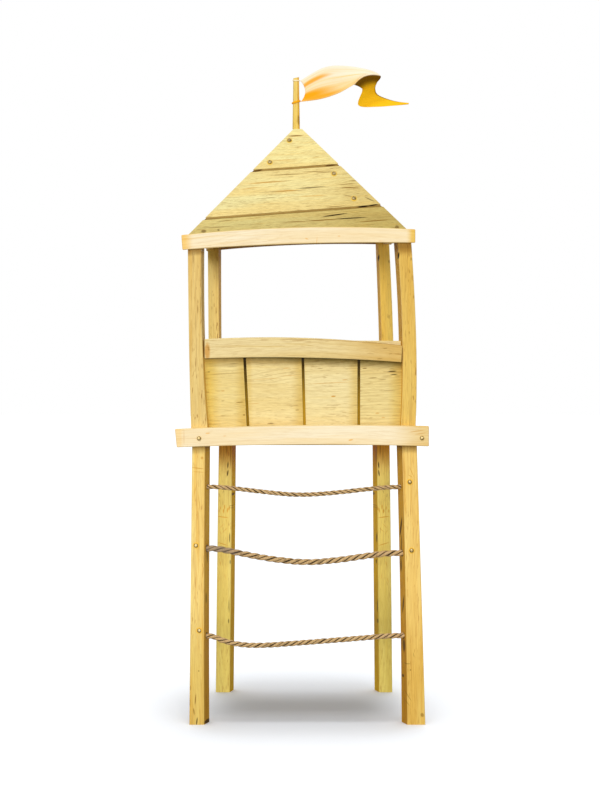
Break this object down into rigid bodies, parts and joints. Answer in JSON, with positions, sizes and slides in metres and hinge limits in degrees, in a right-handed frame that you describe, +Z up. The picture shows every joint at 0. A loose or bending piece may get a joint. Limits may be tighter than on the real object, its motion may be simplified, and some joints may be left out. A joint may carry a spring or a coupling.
{
  "type": "play tower",
  "caption": "Free-standing wooden play tower: splayed legs with rope rungs, boarded platform, parapet, hipped board roof and a pole with a waving pennant.",
  "frame": {"origin": "on the ground, under the middle of the whole outline", "axes": "+Z up, -Y to the front with the rope rungs, +X to the right seen from the front"},
  "size_m": [1.2627, 1.155, 3.3312],
  "materials": {
    "leg_wood": "sawn softwood, oiled",
    "rear_leg_wood": "sawn softwood, oiled",
    "post_wood": "sawn softwood, oiled",
    "board_wood": "sawn softwood, oiled",
    "rail_wood": "sawn softwood, oiled",
    "panel_wood": "sawn softwood, oiled",
    "roof_wood": "sawn softwood, oiled",
    "frame_wood": "sawn softwood, oiled",
    "pole_wood": "sawn softwood, oiled",
    "rope": "three-strand natural fibre rope",
    "flag_cloth": "thin woven cloth, cream to amber",
    "tie_cloth": "twisted cloth tie",
    "bolt_metal": "dulled domed heads"
  },
  "bodies": {
    "root": {"apex_block": "frame_wood", "bottom_rope_rung": "rope", "deck_boards": "panel_wood", "deck_joists": "frame_wood", "flag": "flag_cloth", "flag_pole": "pole_wood", "flag_ties": "tie_cloth", "front_header": "board_wood", "front_inner_rail": "rail_wood", "front_left_leg": "leg_wood", "front_left_post": "post_wood", "front_left_rafter": "frame_wood", "front_panel_board_1": "panel_wood", "front_panel_board_2": "panel_wood", "front_panel_board_3": "panel_wood", "front_panel_board_4": "panel_wood", "front_panel_cleat": "frame_wood", "front_rail": "rail_wood", "front_right_leg": "leg_wood", "front_right_post": "post_wood", "front_right_rafter": "frame_wood", "left_header": "board_wood", "left_panel_boards": "panel_wood", "left_rails": "rail_wood", "left_rim_joist": "frame_wood", "middle_rope_rung": "rope", "platform_front_board": "board_wood", "platform_rear_board": "board_wood", "rear_header": "board_wood", "rear_left_leg": "rear_leg_wood", "rear_left_post": "post_wood", "rear_left_rafter": "frame_wood", "rear_right_leg": "rear_leg_wood", "rear_right_post": "post_wood", "rear_right_rafter": "frame_wood", "right_header": "board_wood", "right_panel_boards": "panel_wood", "right_rails": "rail_wood", "right_rim_joist": "frame_wood", "roof_cap": "roof_wood", "roof_front_boards": "roof_wood", "roof_left_boards": "roof_wood", "roof_rear_boards": "roof_wood", "roof_right_boards": "roof_wood", "top_rope_rung": "rope"}
  },
  "joints": []
}
